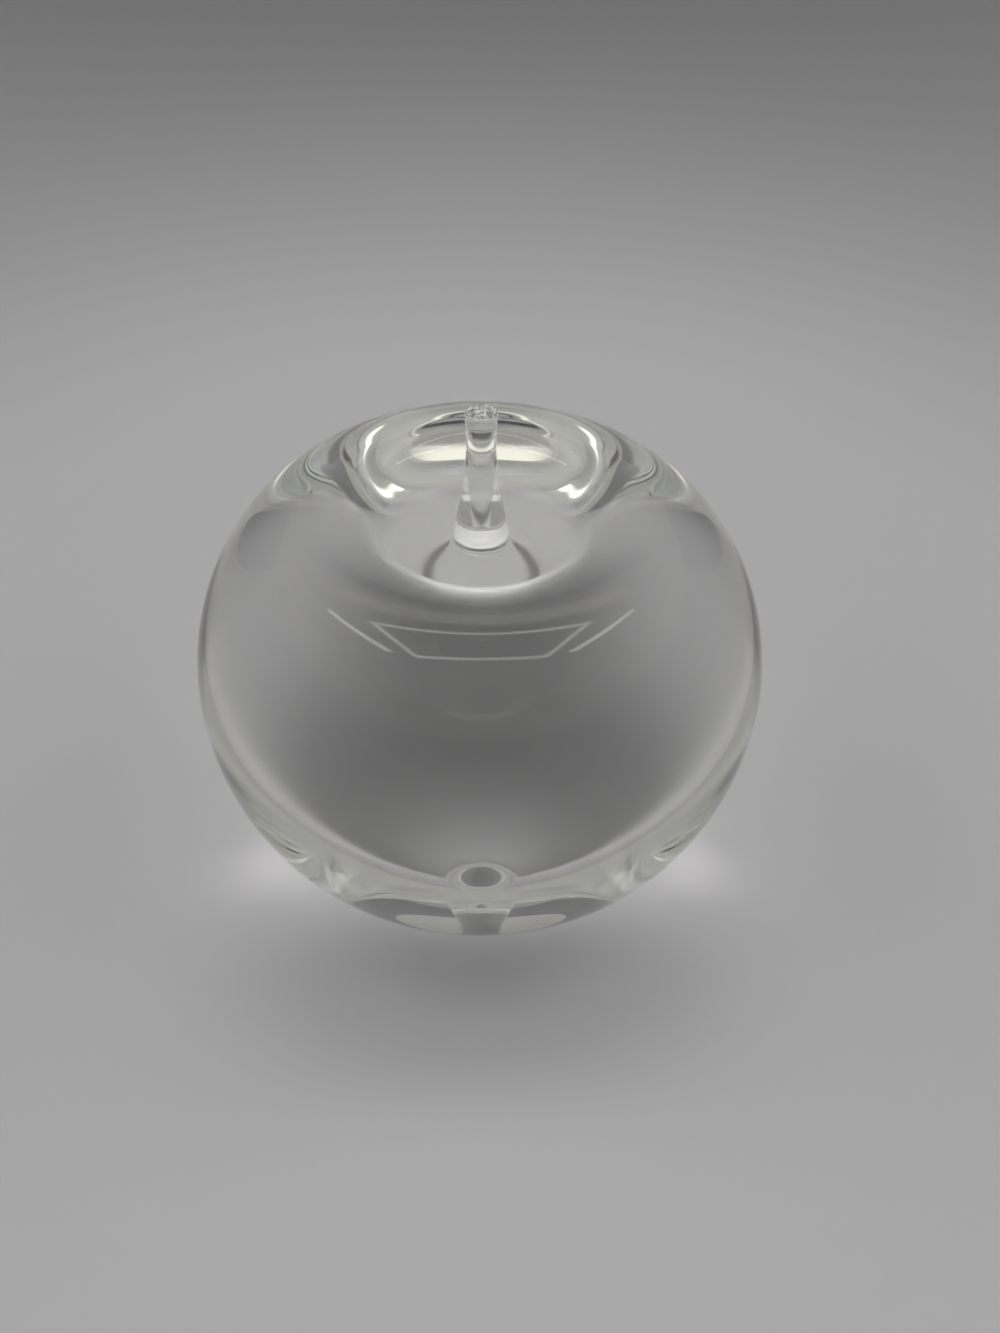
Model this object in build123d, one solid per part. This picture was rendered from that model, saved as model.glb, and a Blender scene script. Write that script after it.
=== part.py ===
from build123d import *

import os
from math import cos, radians, sin, tan

# Art glass apple, solid clear crystal, in millimetres.
# The origin is the centre of the flat polished base and +Z runs up the apple's axis.
# Two pieces: the apple body, and the stem that is bonded to a raised seat in its dimple.

# Driving sizes of the body: widest circle, crest of the rim and the flat that it rests on.
belly_radius = 50.0
belly_height = 44.0
crest_radius = 24.3
crest_height = 78.7
base_radius = 13.6
base_edge_radius = 3.0

# Driving sizes of the dimple and of the pillar of glass that rises from its valley.
dimple_depth = 14.3
valley_radius = 9.5
pillar_height = 6.7
seat_radius = 4.5

# The underside leaves the base at this slope, and the pillar meets its seat at this lean from the vertical.
underside_slope = 13.7
pillar_lean = 30.0

# Handles of the outline's curves, as shares of the width or the height that each curve spans.
underside_run_share = 0.585
belly_drop_share = 0.56
shoulder_rise_share = 0.51
shoulder_reach_share = 0.53
crest_inner_share = 0.72
valley_outer_share = 0.22
valley_inner_share = 0.6
pillar_run_share = 0.4

# Driving sizes of the stem: rolled foot, waist and cut tip. Heights are above the seat.
foot_overhang = 0.25
foot_height = 0.5
foot_lean = 11.0
waist_radius = 2.3
waist_height = 18.5
stem_length = 23.8
tip_radius = 2.45
tip_edge_radius = 0.5
tip_dome_height = 0.2

# A handle of a third of its span keeps a long curve nearly straight, and the tip's dome has its own share.
straight_handle_share = 1 / 3
dome_handle_share = 0.5

# Places that follow from the sizes above.
valley_height = crest_height - dimple_depth
seat_height = valley_height + pillar_height
foot_radius = seat_radius + foot_overhang
foot_z = seat_height + foot_height
waist_z = seat_height + waist_height
top_z = seat_height + stem_length


def underside():
    """From the edge of the base out and up to the belly."""
    run = underside_run_share * (belly_radius - base_radius)
    slope = radians(underside_slope)
    return Bezier(
        (base_radius, 0),
        (base_radius + run * cos(slope), run * sin(slope)),
        (belly_radius, belly_height - belly_drop_share * belly_height),
        (belly_radius, belly_height),
    )


def shoulder():
    """From the belly up and over to the crest."""
    rise = shoulder_rise_share * (crest_height - belly_height)
    reach = shoulder_reach_share * (belly_radius - crest_radius)
    return Bezier(
        (belly_radius, belly_height),
        (belly_radius, belly_height + rise),
        (crest_radius + reach, crest_height),
        (crest_radius, crest_height),
    )


def dimple_wall():
    """From the crest down into the valley round the pillar, as one S curve."""
    width = crest_radius - valley_radius
    return Bezier(
        (crest_radius, crest_height),
        (crest_radius - crest_inner_share * width, crest_height),
        (valley_radius + valley_outer_share * width, valley_height),
        (valley_radius, valley_height),
    )


def pillar_wall():
    """From the valley up the pillar to the edge of its seat."""
    lean = radians(pillar_lean)
    run = pillar_run_share * pillar_height
    return Bezier(
        (valley_radius, valley_height),
        (valley_radius - valley_inner_share * (valley_radius - seat_radius), valley_height),
        (seat_radius + run * sin(lean), seat_height - run * cos(lean)),
        (seat_radius, seat_height),
    )


def apple_body():
    with BuildPart() as body:
        with BuildSketch(Plane.XZ):
            with BuildLine():
                Line((0, 0), (base_radius, 0))
                underside()
                shoulder()
                dimple_wall()
                pillar_wall()
                Line((seat_radius, seat_height), (0, seat_height))
                Line((0, seat_height), (0, 0))
            make_face()
        revolve(axis=Axis.Z)
        fillet(body.edges().group_by(Axis.Z)[0], base_edge_radius)
    return body.part


def foot_roll():
    """The rolled edge of the stem's foot, from the seat out and up."""
    corner_radius = foot_radius + foot_height * tan(radians(foot_lean))
    return Bezier((seat_radius, seat_height), (corner_radius, seat_height), (foot_radius, foot_z))


def rod_wall():
    """From the foot up the tapered rod to its waist."""
    lean = radians(foot_lean)
    handle = straight_handle_share * (waist_z - foot_z)
    return Bezier(
        (foot_radius, foot_z),
        (foot_radius - handle * sin(lean), foot_z + handle * cos(lean)),
        (waist_radius, waist_z - handle),
        (waist_radius, waist_z),
    )


def stem():
    cut_z = top_z - tip_dome_height
    cut_radius = tip_radius - tip_edge_radius
    edge_z = cut_z - tip_edge_radius
    handle = straight_handle_share * (edge_z - waist_z)
    with BuildPart() as piece:
        with BuildSketch(Plane.XZ):
            with BuildLine():
                Line((0, seat_height), (seat_radius, seat_height))
                foot_roll()
                rod_wall()
                Bezier(
                    (waist_radius, waist_z),
                    (waist_radius, waist_z + handle),
                    (tip_radius, edge_z - handle),
                    (tip_radius, edge_z),
                )
                TangentArc((tip_radius, edge_z), (cut_radius, cut_z), tangent=(0, 1))
                Bezier((cut_radius, cut_z), (dome_handle_share * cut_radius, top_z), (0, top_z))
                Line((0, top_z), (0, seat_height))
            make_face()
        revolve(axis=Axis.Z)
    return piece.part


os.makedirs("parts", exist_ok=True)
export_step(apple_body(), "parts/apple_body.step")
export_step(stem(), "parts/stem.step")
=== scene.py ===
from math import cos, pi, radians, sin

import bpy
from mathutils import Matrix, Vector


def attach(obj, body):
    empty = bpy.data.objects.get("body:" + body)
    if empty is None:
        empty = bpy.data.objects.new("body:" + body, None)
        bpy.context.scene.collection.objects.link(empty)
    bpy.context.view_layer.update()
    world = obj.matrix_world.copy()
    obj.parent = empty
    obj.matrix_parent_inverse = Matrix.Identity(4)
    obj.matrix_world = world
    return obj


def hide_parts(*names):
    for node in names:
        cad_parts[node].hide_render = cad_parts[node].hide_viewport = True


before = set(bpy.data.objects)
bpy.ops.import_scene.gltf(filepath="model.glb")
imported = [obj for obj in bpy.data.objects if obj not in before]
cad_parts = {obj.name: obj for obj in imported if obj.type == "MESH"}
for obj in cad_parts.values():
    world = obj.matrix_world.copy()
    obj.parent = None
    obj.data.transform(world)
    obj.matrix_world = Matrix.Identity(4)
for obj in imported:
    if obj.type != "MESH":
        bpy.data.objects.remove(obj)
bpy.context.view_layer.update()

# Sizes below are in millimetres, as in the solids, and this turns them into Blender's metres.
mm = 0.001

# Outline of the body: belly, crest of the rim and flat base.
belly_radius = 50.0
belly_height = 44.0
crest_radius = 24.3
crest_height = 78.7
base_radius = 13.6
underside_slope = 13.7
underside_run_share = 0.585
belly_drop_share = 0.56
shoulder_rise_share = 0.51
shoulder_reach_share = 0.53

# The dimple, and the pillar that rises from its valley to the seat of the stem.
dimple_depth = 14.3
valley_radius = 9.5
crest_inner_share = 0.72
valley_outer_share = 0.22
pillar_height = 6.7
seat_radius = 4.5
pillar_lean = 30.0
valley_inner_share = 0.6
pillar_run_share = 0.4

# Outline of the stem, with heights above its seat.
foot_overhang = 0.25
foot_height = 0.5
foot_lean = 11.0
waist_radius = 2.3
waist_height = 18.5
stem_length = 23.8
tip_radius = 2.45
tip_edge_radius = 0.5
tip_dome_height = 0.2

valley_height = crest_height - dimple_depth
seat_height = valley_height + pillar_height
foot_radius = seat_radius + foot_overhang

# How finely the outlines are turned and drawn.
turns = 256
curve_steps = 72
short_curve_steps = 24
tiny_curve_steps = 8

# A handle of a third of its span keeps a long curve nearly straight, and the tip's dome has its own share.
straight_handle_share = 1 / 3
dome_handle_share = 0.5

# A handle of this share of the radius draws a quarter circle.
quarter_handle_share = 0.552

# Points nearer to the axis than this lie on it, where a ring shrinks to one point.
axis_radius = 1e-9

# Light is reflected many times inside solid glass before it leaves.
most_bounces = 32

# Crystal glass: how much it bends light, and its faint tint.
glass_ior = 1.53
glass_color = (0.993, 0.996, 0.991)

# The polished skin is almost smooth, and the cut tip is slightly rough and pitted. The scales count the
# ripples in a metre, and the depths are in millimetres.
polished_roughness = 0.0
polished_ripple_scale = 45.0
polished_ripple_strength = 0.01
polished_ripple_depth = 0.5
cut_roughness = 0.12
cut_ripple_scale = 1400.0
cut_ripple_strength = 0.5
cut_ripple_depth = 0.3

# Camera: its height in degrees, its distance from the middle of the body, and how it is turned from there.
camera_elevation = 46.5
camera_distance = 186.5
camera_pitch = -0.29
camera_yaw = 1.08

# The lens, in pixels of the picture's full height, and the width of the sensor.
focal_pixels = 1000
image_height_pixels = 1333
sensor_width = 36


def curve(points, steps):
    """Points on the Bezier curve of two to four control points, both ends included."""
    row = []
    for i in range(steps + 1):
        share = i / steps
        level = [Vector(p) for p in points]
        while len(level) > 1:
            level = [a.lerp(b, share) for a, b in zip(level, level[1:])]
        row.append(level[0])
    return row


def body_outline():
    """The body's outline in six parts, from the middle of the base round to the middle of the seat."""
    slope = radians(underside_slope)
    run = underside_run_share * (belly_radius - base_radius)
    underside = [
        (base_radius, 0),
        (base_radius + run * cos(slope), run * sin(slope)),
        (belly_radius, belly_height - belly_drop_share * belly_height),
        (belly_radius, belly_height),
    ]
    shoulder = [
        (belly_radius, belly_height),
        (belly_radius, belly_height + shoulder_rise_share * (crest_height - belly_height)),
        (crest_radius + shoulder_reach_share * (belly_radius - crest_radius), crest_height),
        (crest_radius, crest_height),
    ]
    width = crest_radius - valley_radius
    dimple = [
        (crest_radius, crest_height),
        (crest_radius - crest_inner_share * width, crest_height),
        (valley_radius + valley_outer_share * width, valley_height),
        (valley_radius, valley_height),
    ]
    lean = radians(pillar_lean)
    pillar_run = pillar_run_share * pillar_height
    pillar = [
        (valley_radius, valley_height),
        (valley_radius - valley_inner_share * (valley_radius - seat_radius), valley_height),
        (seat_radius + pillar_run * sin(lean), seat_height - pillar_run * cos(lean)),
        (seat_radius, seat_height),
    ]
    return [
        curve([(0, 0), (base_radius, 0)], tiny_curve_steps),
        curve(underside, curve_steps),
        curve(shoulder, curve_steps),
        curve(dimple, curve_steps),
        curve(pillar, curve_steps),
        curve([(seat_radius, seat_height), (0, seat_height)], tiny_curve_steps),
    ]


def stem_outline():
    """The stem's outline in six parts, from the middle of its foot up to the middle of the cut tip."""
    lean = radians(foot_lean)
    foot_z = seat_height + foot_height
    waist_z = seat_height + waist_height
    top_z = seat_height + stem_length
    cut_z = top_z - tip_dome_height
    cut_radius = tip_radius - tip_edge_radius
    edge_z = cut_z - tip_edge_radius
    rod_handle = straight_handle_share * (waist_z - foot_z)
    flare_handle = straight_handle_share * (edge_z - waist_z)
    corner = foot_radius + foot_height * sin(lean) / cos(lean)
    round_handle = quarter_handle_share * tip_edge_radius
    foot = [
        (seat_radius, seat_height),
        (corner, seat_height),
        (foot_radius, foot_z),
    ]
    rod = [
        (foot_radius, foot_z),
        (foot_radius - rod_handle * sin(lean), foot_z + rod_handle * cos(lean)),
        (waist_radius, waist_z - rod_handle),
        (waist_radius, waist_z),
    ]
    flare = [
        (waist_radius, waist_z),
        (waist_radius, waist_z + flare_handle),
        (tip_radius, edge_z - flare_handle),
        (tip_radius, edge_z),
    ]
    edge = [
        (tip_radius, edge_z),
        (tip_radius, edge_z + round_handle),
        (cut_radius + round_handle, cut_z),
        (cut_radius, cut_z),
    ]
    dome = [
        (cut_radius, cut_z),
        (dome_handle_share * cut_radius, top_z),
        (0, top_z),
    ]
    return [
        curve([(0, seat_height), (seat_radius, seat_height)], tiny_curve_steps),
        curve(foot, tiny_curve_steps),
        curve(rod, curve_steps),
        curve(flare, short_curve_steps),
        curve(edge, tiny_curve_steps),
        curve(dome, tiny_curve_steps),
    ]


def turned(name, parts, materials, slots):
    """A closed solid of revolution, with a material slot for each part of its outline."""
    verts = []
    faces = []
    face_slots = []
    rings = []
    ring_part = []
    for k, part in enumerate(parts):
        for i, point in enumerate(part):
            if i == 0 and k > 0:
                continue
            start = len(verts)
            if point.x < axis_radius:
                verts.append((0, 0, point.y * mm))
                rings.append([start] * turns)
            else:
                for t in range(turns):
                    angle = 2 * pi * t / turns
                    verts.append((point.x * cos(angle) * mm, point.x * sin(angle) * mm, point.y * mm))
                rings.append(list(range(start, start + turns)))
            ring_part.append(k)
    for low, high, k in zip(rings, rings[1:], ring_part[1:]):
        for t in range(turns):
            u = (t + 1) % turns
            corners = [low[t], low[u], high[u], high[t]]
            faces.append(list(dict.fromkeys(corners)))
            face_slots.append(slots[k])
    mesh = bpy.data.meshes.new(name)
    mesh.from_pydata(verts, [], faces)
    mesh.update()
    mesh.polygons.foreach_set("use_smooth", [True] * len(faces))
    mesh.polygons.foreach_set("material_index", face_slots)
    for material in materials:
        mesh.materials.append(material)
    piece = bpy.data.objects.new(name, mesh)
    bpy.context.scene.collection.objects.link(piece)
    return piece


def node(tree, kind, **values):
    """A new node of a material or of the world, with some of its settings."""
    made = tree.nodes.new(kind)
    for key, value in values.items():
        setattr(made, key, value)
    return made


def ripple(tree, scale, strength, depth):
    """Normal of a surface that is uneven by a soft noise."""
    place = node(tree, "ShaderNodeTexCoord")
    noise = node(tree, "ShaderNodeTexNoise")
    noise.inputs["Scale"].default_value = scale
    bump = node(tree, "ShaderNodeBump")
    bump.inputs["Strength"].default_value = strength
    bump.inputs["Distance"].default_value = depth * mm
    tree.links.new(place.outputs["Object"], noise.inputs["Vector"])
    tree.links.new(noise.outputs["Fac"], bump.inputs["Height"])
    return bump.outputs["Normal"]


def glass_material(name, roughness, ripple_scale, ripple_strength, ripple_depth):
    """Clear crystal glass with its own roughness and ripples."""
    material = bpy.data.materials.new(name)
    material.use_nodes = True
    tree = material.node_tree
    tree.nodes.clear()
    out = node(tree, "ShaderNodeOutputMaterial")
    shader = node(tree, "ShaderNodeBsdfGlass")
    shader.inputs["Roughness"].default_value = roughness
    shader.inputs["IOR"].default_value = glass_ior
    shader.inputs["Color"].default_value = (*glass_color, 1)
    normal = ripple(tree, ripple_scale, ripple_strength, ripple_depth)
    tree.links.new(normal, shader.inputs["Normal"])
    tree.links.new(shader.outputs[0], out.inputs["Surface"])
    return material


def joint_material():
    """Where the stem meets its seat, the two glasses join and nothing shows."""
    material = bpy.data.materials.new("fused_joint")
    material.use_nodes = True
    tree = material.node_tree
    tree.nodes.clear()
    out = node(tree, "ShaderNodeOutputMaterial")
    clear = node(tree, "ShaderNodeBsdfTransparent")
    tree.links.new(clear.outputs[0], out.inputs["Surface"])
    return material


glass = glass_material(
    "clear_glass",
    polished_roughness,
    polished_ripple_scale,
    polished_ripple_strength,
    polished_ripple_depth,
)
cut = glass_material(
    "cut_glass",
    cut_roughness,
    cut_ripple_scale,
    cut_ripple_strength,
    cut_ripple_depth,
)
joint = joint_material()
body = turned("apple_body_glass", body_outline(), [glass, joint], [0, 0, 0, 0, 0, 1])
stem = turned("stem_glass", stem_outline(), [glass, joint, cut], [1, 0, 0, 0, 0, 2])
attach(body, "root")
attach(stem, "root")
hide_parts("apple_body")
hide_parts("stem")


def calc(tree, operation, first, second=0.0):
    """Output of a Math node. Each input is a number or another node's output."""
    made = node(tree, "ShaderNodeMath", operation=operation)
    for socket, value in zip(made.inputs, (first, second)):
        if isinstance(value, (int, float)):
            socket.default_value = value
        else:
            tree.links.new(value, socket)
    return made.outputs[0]


def ramp(tree, value, low, high):
    """Rises smoothly from 0 at low to 1 at high."""
    made = node(tree, "ShaderNodeMapRange", interpolation_type="SMOOTHSTEP")
    tree.links.new(value, made.inputs["Value"])
    made.inputs["From Min"].default_value = low
    made.inputs["From Max"].default_value = high
    return made.outputs["Result"]


def below(tree, value, limit, soft):
    """1 below the limit, 0 above it, with a soft edge."""
    return calc(tree, "SUBTRACT", 1.0, ramp(tree, value, limit - soft, limit + soft))


def band(tree, value, low, high, soft):
    """1 between low and high, 0 outside, with soft edges."""
    rise = ramp(tree, value, low - soft, low + soft)
    fall = ramp(tree, value, high - soft, high + soft)
    return calc(tree, "SUBTRACT", rise, fall)


def oval(tree, u, v, middle, half_size, soft):
    """1 inside an ellipse in the plane of u and v, 0 outside, with a soft edge."""
    across = calc(tree, "DIVIDE", calc(tree, "SUBTRACT", u, middle[0]), half_size[0])
    along = calc(tree, "DIVIDE", calc(tree, "SUBTRACT", v, middle[1]), half_size[1])
    across_square = calc(tree, "MULTIPLY", across, across)
    along_square = calc(tree, "MULTIPLY", along, along)
    distance = calc(tree, "SQRT", calc(tree, "ADD", across_square, along_square))
    return below(tree, distance, 1.0, soft)


def tinted(tree, under, share, color):
    """The colour under it, painted over with another by a share."""
    made = node(tree, "ShaderNodeMix", data_type="RGBA")
    tree.links.new(share, made.inputs["Factor"])
    lower, upper = [socket for socket in made.inputs if socket.type == "RGBA"]
    if isinstance(under, tuple):
        lower.default_value = (*under, 1)
    else:
        tree.links.new(under, lower)
    upper.default_value = (*color, 1)
    return [socket for socket in made.outputs if socket.type == "RGBA"][0]


# The room, as colours on a ceiling one unit above the apple: u to the right, v away from the camera.
# Directions lower than the horizon's height are taken at that height.
horizon_height = 0.02
room_color = (0.32, 0.315, 0.298)

# Pale wall at the back with dark strips round it, a lighter ceiling and dark screens at the front. Each
# oval has its middle, its half sizes, how soft its edge is and its colour, and is drawn on both sides.
room_ovals = [
    ((0.0, 0.51), (0.60, 0.14), 0.3, (1.0, 0.97, 0.86)),
    ((0.25, 0.92), (0.42, 0.12), 0.4, (0.04, 0.04, 0.05)),
    ((1.75, 0.72), (0.25, 0.16), 0.5, (0.08, 0.07, 0.06)),
    ((0.0, -0.42), (0.26, 0.14), 0.4, (0.45, 0.45, 0.42)),
    ((0.65, -0.98), (0.22, 0.16), 0.4, (0.05, 0.045, 0.04)),
]

# Tone of the backdrop above the wall of the floor sheet, where the camera looks straight at it.
backdrop_color = (0.149, 0.148, 0.151)

# Lamps on either side, which only show through the glass.
bent_ovals = [
    ((1.3, 0.25), (0.5, 0.36), 0.5, (0.48, 0.48, 0.45)),
    ((0.9, 0.62), (0.22, 0.16), 0.5, (0.55, 0.55, 0.52)),
    ((1.33, 0.1), (0.12, 0.12), 0.4, (1.3, 1.3, 1.2)),
]

# Frame of light overhead: edges of its front and back bars, and of its side bars where v is 0. The side
# bars slant outward to the back, and the outer ones have their own reach.
front_bar = (-0.225, -0.195)
back_bar = (0.18, 0.21)
inner_bar = (0.39, 0.42)
inner_bar_slant = 0.3
outer_bar = (0.58, 0.64)
outer_bar_slant = 0.67
outer_bar_reach = (-0.17, 0.30)
frame_soft = 0.022
frame_color = (3.8, 3.8, 3.7)

# A ray that has met the floor has a diffuse depth above this.
unlit_depth = 0.5

# Light on the floor: soft from all round, dark at the front and back, brighter overhead, and a lamp on
# either side that the glass gathers.
lit_color = (2.1, 2.08, 2.06)
lit_ovals = [
    ((0.0, -0.88), (1.1, 0.82), 0.2, (0.05, 0.05, 0.05)),
    ((0.0, 1.3), (1.3, 0.8), 0.35, (0.08, 0.08, 0.08)),
    ((0.0, 0.27), (0.6, 0.14), 0.3, (5.2, 5.2, 5.1)),
    ((1.12, 0.45), (0.17, 0.15), 0.4, (5.2, 5.1, 5.0)),
]


def draw_ovals(tree, color, side, v, ovals, share=1.0):
    """The colour, painted over with each oval in turn, all of them by a share."""
    for middle, half_size, soft, tone in ovals:
        spot = calc(tree, "MULTIPLY", oval(tree, side, v, middle, half_size, soft), share)
        color = tinted(tree, color, spot, tone)
    return color


def light_frame(tree, side, v):
    """1 on the bars of the frame of light overhead, 0 elsewhere."""
    inner = calc(tree, "SUBTRACT", side, calc(tree, "MULTIPLY", v, inner_bar_slant))
    outer = calc(tree, "SUBTRACT", side, calc(tree, "MULTIPLY", v, outer_bar_slant))
    across = below(tree, inner, inner_bar[1], frame_soft)
    along = band(tree, v, front_bar[0], back_bar[1], frame_soft)
    outer_along = band(tree, v, *outer_bar_reach, frame_soft)
    pairs = [
        (band(tree, v, *front_bar, frame_soft), across),
        (band(tree, v, *back_bar, frame_soft), across),
        (band(tree, inner, *inner_bar, frame_soft), along),
        (band(tree, outer, *outer_bar, frame_soft), outer_along),
    ]
    bars = 0.0
    for bar, reach in pairs:
        bars = calc(tree, "MAXIMUM", calc(tree, "MULTIPLY", bar, reach), bars)
    return bars


def add_world():
    """Plain studio light on the floor, and the room that the glass mirrors and bends."""
    world = bpy.data.worlds.new("studio")
    bpy.context.scene.world = world
    world.use_nodes = True
    tree = world.node_tree
    tree.nodes.clear()
    out = node(tree, "ShaderNodeOutputWorld")
    place = node(tree, "ShaderNodeTexCoord")
    split = node(tree, "ShaderNodeSeparateXYZ")
    tree.links.new(place.outputs["Generated"], split.inputs[0])
    x, y, z = split.outputs
    height = calc(tree, "MAXIMUM", z, horizon_height)
    side = calc(tree, "ABSOLUTE", calc(tree, "DIVIDE", x, height))
    v = calc(tree, "DIVIDE", y, height)
    path = node(tree, "ShaderNodeLightPath")
    through = path.outputs["Is Transmission Ray"]
    mirrored = calc(tree, "SUBTRACT", 1.0, through)
    color = draw_ovals(tree, room_color, side, v, room_ovals)
    color = draw_ovals(tree, color, side, v, bent_ovals, through)
    bars = calc(tree, "MULTIPLY", light_frame(tree, side, v), mirrored)
    color = tinted(tree, color, bars, frame_color)
    color = tinted(tree, color, path.outputs["Is Camera Ray"], backdrop_color)
    seen = node(tree, "ShaderNodeBackground")
    tree.links.new(color, seen.inputs["Color"])
    lit = node(tree, "ShaderNodeBackground")
    glow = draw_ovals(tree, lit_color, side, v, lit_ovals)
    tree.links.new(glow, lit.inputs["Color"])
    choose = node(tree, "ShaderNodeMixShader")
    from_floor = calc(tree, "GREATER_THAN", path.outputs["Diffuse Depth"], unlit_depth)
    tree.links.new(from_floor, choose.inputs[0])
    tree.links.new(seen.outputs[0], choose.inputs[1])
    tree.links.new(lit.outputs[0], choose.inputs[2])
    tree.links.new(choose.outputs[0], out.inputs["Surface"])


# The floor is a round sheet that curves up into a wall all round.
sheet_flat_radius = 210.0
sheet_curve_radius = 200.0
sheet_wall_height = 60.0

# Steps of the sheet's flat, of its bend and of its wall.
flat_steps = 24
bend_steps = 48
wall_steps = 4

# Air between the polished base and the floor, which keeps the two surfaces apart.
floor_gap = 0.03

# Matt sheet, pale round the apple; painted shade fades it to darker grey between two distances from its
# middle.
floor_roughness = 0.75
floor_shine = 0.2
near_floor_color = (0.42, 0.415, 0.425)
# Painted shade on the far floor and the wall, where the light falls off.
painted_shade_floor_color = (0.16, 0.16, 0.165)
fade_start = 170.0
fade_end = 480.0


def floor_material():
    material = bpy.data.materials.new("floor_paper")
    material.use_nodes = True
    tree = material.node_tree
    paper = tree.nodes["Principled BSDF"]
    paper.inputs["Roughness"].default_value = floor_roughness
    paper.inputs["Specular IOR Level"].default_value = floor_shine
    place = node(tree, "ShaderNodeTexCoord")
    length = node(tree, "ShaderNodeVectorMath", operation="LENGTH")
    tree.links.new(place.outputs["Object"], length.inputs[0])
    # Painted shade: darker grey towards the far floor and the wall.
    painted_far_shade = ramp(tree, length.outputs["Value"], fade_start * mm, fade_end * mm)
    shade = tinted(tree, near_floor_color, painted_far_shade, painted_shade_floor_color)
    tree.links.new(shade, paper.inputs["Base Color"])
    return material


def add_floor():
    bend = []
    for i in range(bend_steps + 1):
        angle = pi / 2 * i / bend_steps
        radius = sheet_flat_radius + sheet_curve_radius * sin(angle)
        bend.append(Vector((radius, sheet_curve_radius * (1 - cos(angle)))))
    top = bend[-1]
    flat = curve([(0, 0), (sheet_flat_radius, 0)], flat_steps)
    wall = curve([top, (top.x, top.y + sheet_wall_height)], wall_steps)
    sheet = turned("floor", [flat, bend, wall], [floor_material()], [0, 0, 0])
    sheet.location.z = -floor_gap * mm


def add_camera():
    """The camera stands in front of the apple and looks down on the middle of its body."""
    elevation = radians(camera_elevation)
    distance = camera_distance * mm
    middle = crest_height * mm / 2
    place = Vector((0, -distance * cos(elevation), middle + distance * sin(elevation)))
    pitch = elevation + radians(camera_pitch)
    yaw = radians(camera_yaw)
    ahead = Vector((0, cos(pitch), -sin(pitch)))
    up = Vector((0, sin(pitch), cos(pitch)))
    side = Vector((1, 0, 0))
    ahead, side = ahead * cos(yaw) + side * sin(yaw), side * cos(yaw) - ahead * sin(yaw)
    data = bpy.data.cameras.new("camera")
    data.sensor_width = sensor_width
    data.lens = sensor_width * focal_pixels / image_height_pixels
    camera = bpy.data.objects.new("camera", data)
    camera.matrix_world = Matrix((side, up, -ahead)).transposed().to_4x4()
    camera.location = place
    bpy.context.scene.collection.objects.link(camera)
    bpy.context.scene.camera = camera


add_floor()
add_world()
add_camera()
bpy.context.scene.view_settings.view_transform = "Standard"
bpy.context.scene.cycles.max_bounces = most_bounces
bpy.context.scene.cycles.glossy_bounces = most_bounces
bpy.context.scene.cycles.transmission_bounces = most_bounces
# Light that the glass gathers on the floor stays sharp.
bpy.context.scene.cycles.blur_glossy = 0
